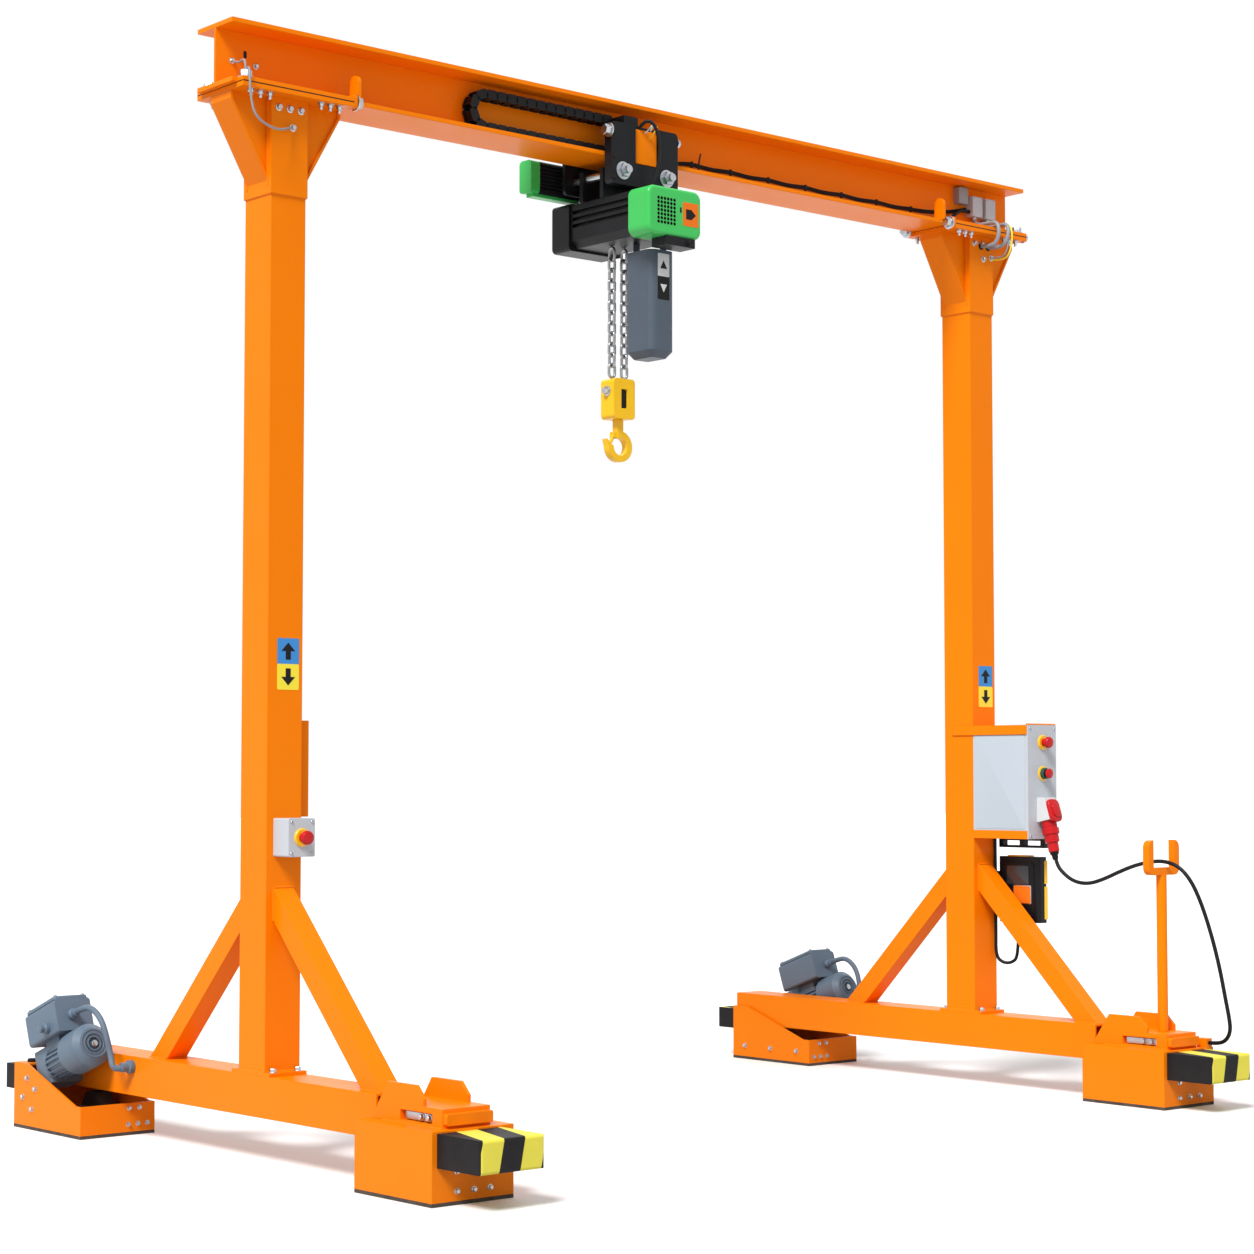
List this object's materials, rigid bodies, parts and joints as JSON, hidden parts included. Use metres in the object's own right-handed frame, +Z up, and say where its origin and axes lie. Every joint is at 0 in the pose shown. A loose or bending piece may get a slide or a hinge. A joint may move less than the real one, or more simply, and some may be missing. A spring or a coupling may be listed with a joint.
{
  "type": "gantry crane",
  "caption": "Orange portal gantry crane on wheeled, motor-driven carriages, with a beam trolley, an electric chain hoist with a hook block, a control cabinet and a pendant.",
  "frame": {"origin": "on the ground under the centre of the crane's bounding box", "axes": "+X along the beam from the left leg to the right leg, +Y towards the motor end of the carriages, +Z up"},
  "size_m": [4.06, 2.895, 3.871],
  "materials": {
    "orange_paint": "glossy orange paint",
    "wheel_rubber": "black rubber",
    "bumper_rubber": "black rubber with yellow stripes",
    "motor_grey": "slate grey paint",
    "cabinet_grey": "light grey paint",
    "button_red": "red plastic",
    "inlet_white": "white plastic",
    "plug_red": "red plastic",
    "cable_black": "black plastic",
    "hoist_black": "satin black",
    "cover_green": "green plastic",
    "bag_grey": "grey plastic",
    "bright_steel": "zinc plated steel",
    "hook_yellow": "yellow paint"
  },
  "bodies": {
    "frame": {"main_beam": "orange_paint", "left_column": "orange_paint", "right_column": "orange_paint", "left_column_head": "orange_paint", "right_column_head": "orange_paint", "foot_plates": "orange_paint", "left_carriage_beam": "orange_paint", "right_carriage_beam": "orange_paint", "left_braces": "orange_paint", "right_braces": "orange_paint", "left_front_box": "orange_paint", "right_front_box": "orange_paint", "left_rear_box": "orange_paint", "right_rear_box": "orange_paint", "front_covers": "orange_paint", "cable_guard": "orange_paint", "cabinet_straps": "orange_paint", "cord_post": "orange_paint", "cord_gland": "orange_paint", "end_stops": "orange_paint", "travel_wheels": "wheel_rubber", "floor_skirts": "wheel_rubber", "front_bumpers": "bumper_rubber", "rear_bumpers": "bumper_rubber", "left_gearmotor": "motor_grey", "right_gearmotor": "motor_grey", "control_cabinet": "cabinet_grey", "emergency_stop_box": "cabinet_grey", "junction_boxes": "cabinet_grey", "push_buttons": "button_red", "supply_inlet": "inlet_white", "supply_plug": "plug_red", "supply_cord": "cable_black", "pendant_cord": "cable_black", "flange_cable": "cable_black", "cable_chain": "cable_black", "pendant": "hoist_black", "pendant_bracket": "hoist_black"},
    "trolley": {"trolley_plates": "hoist_black", "tie_rods": "bright_steel", "trolley_rollers": "bright_steel", "trolley_drive": "hoist_black", "drive_cover": "cover_green", "hoist_body": "hoist_black", "hoist_gear_cover": "hoist_black", "hoist_motor_cap": "cover_green", "hoist_control_box": "hoist_black", "chain_bag": "bag_grey"},
    "lower_block": {"load_chain": "bright_steel", "bottom_block": "hook_yellow"},
    "hook": {"hook": "hook_yellow"},
    "latch": {"hook_latch": "hook_yellow"}
  },
  "joints": [
    {"name": "trolley_travel", "type": "slide", "parent": "frame", "child": "trolley", "axis": [1, 0, 0], "range_m": [-1.113, 1.547], "deforming": ["cable_chain"]},
    {"name": "hoist_lift", "type": "slide", "parent": "trolley", "child": "lower_block", "axis": [0, 0, 1], "range_m": [-2.2, 0.4], "deforming": ["load_chain"]},
    {"name": "hook_swivel", "type": "hinge", "parent": "lower_block", "child": "hook", "pos_m": [-0.217, -0.0955, 2.66], "axis": [0, 0, 1], "continuous": true},
    {"name": "latch_hinge", "type": "hinge", "parent": "hook", "child": "latch", "pos_m": [-0.2395, -0.0955, 2.609], "axis": [0, -1, 0], "range_deg": [0, 40], "stiffness_Nm_per_rad": 0.5, "springref_deg": -17.19}
  ]
}
